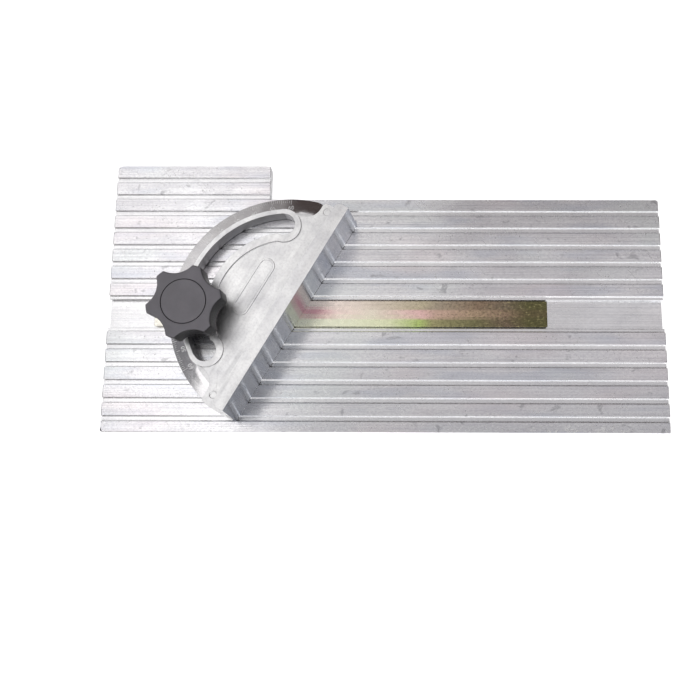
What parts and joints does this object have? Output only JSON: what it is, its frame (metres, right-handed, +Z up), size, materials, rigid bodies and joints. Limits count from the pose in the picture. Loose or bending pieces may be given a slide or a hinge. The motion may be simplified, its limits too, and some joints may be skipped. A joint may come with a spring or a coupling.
{
  "type": "tile cutter mitre table",
  "caption": "Grooved aluminium table with a steel bar that slides in its channel and carries a protractor head: a tall fence that swivels and is clamped by a star knob.",
  "frame": {"origin": "centre of the table's underside, on the box round the whole table, tongue included", "axes": "+X along the channel, to the right; +Y to the back, where the tongue is; +Z up"},
  "size_m": [0.4, 0.197, 0.055],
  "materials": {
    "table_alloy": "satin mill finish, scratched",
    "zinc_steel": "yellow passivated zinc plating",
    "cast_alloy": "as-cast satin, with a milled fence face and scale ledge",
    "bright_steel": "bright zinc plating",
    "dark_steel": "black oxide",
    "white_nylon": "moulded",
    "brass_insert": "turned",
    "black_plastic": "fine moulded texture",
    "cap_plastic": "fine moulded texture"
  },
  "bodies": {
    "table": {"table_plate": "table_alloy"},
    "bar": {"guide_bar": "zinc_steel", "index_pointer": "bright_steel", "pointer_screw": "dark_steel", "clamp_stud": "bright_steel"},
    "head": {"protractor_head": "cast_alloy", "pivot_screw": "dark_steel", "pivot_wave_washer": "bright_steel", "thrust_washer": "white_nylon"},
    "clamp": {"clamp_washer": "bright_steel"},
    "knob": {"clamp_knob": "black_plastic", "knob_insert": "brass_insert", "knob_cap": "cap_plastic"}
  },
  "joints": [
    {"name": "bar_slide", "type": "slide", "parent": "table", "child": "bar", "axis": [1, 0, 0], "range_m": [-0.12, 0.22]},
    {"name": "head_swivel", "type": "hinge", "parent": "bar", "child": "head", "pos_m": [-0.0695, -0.0135, 0.00875], "axis": [0, 0, 1], "range_deg": [-25, 85]},
    {"name": "clamp_lift", "type": "slide", "parent": "bar", "child": "clamp", "axis": [0, 0, 1], "range_m": [0, 0.0025]},
    {"name": "knob_turn", "type": "hinge", "parent": "clamp", "child": "knob", "pos_m": [-0.133, -0.0135, 0.032], "axis": [0, 0, 1], "range_deg": [0, 725]}
  ],
  "couplings": [
    {"joint": "knob_turn", "follows": "clamp_lift", "rad_per_m": 5026.5}
  ]
}
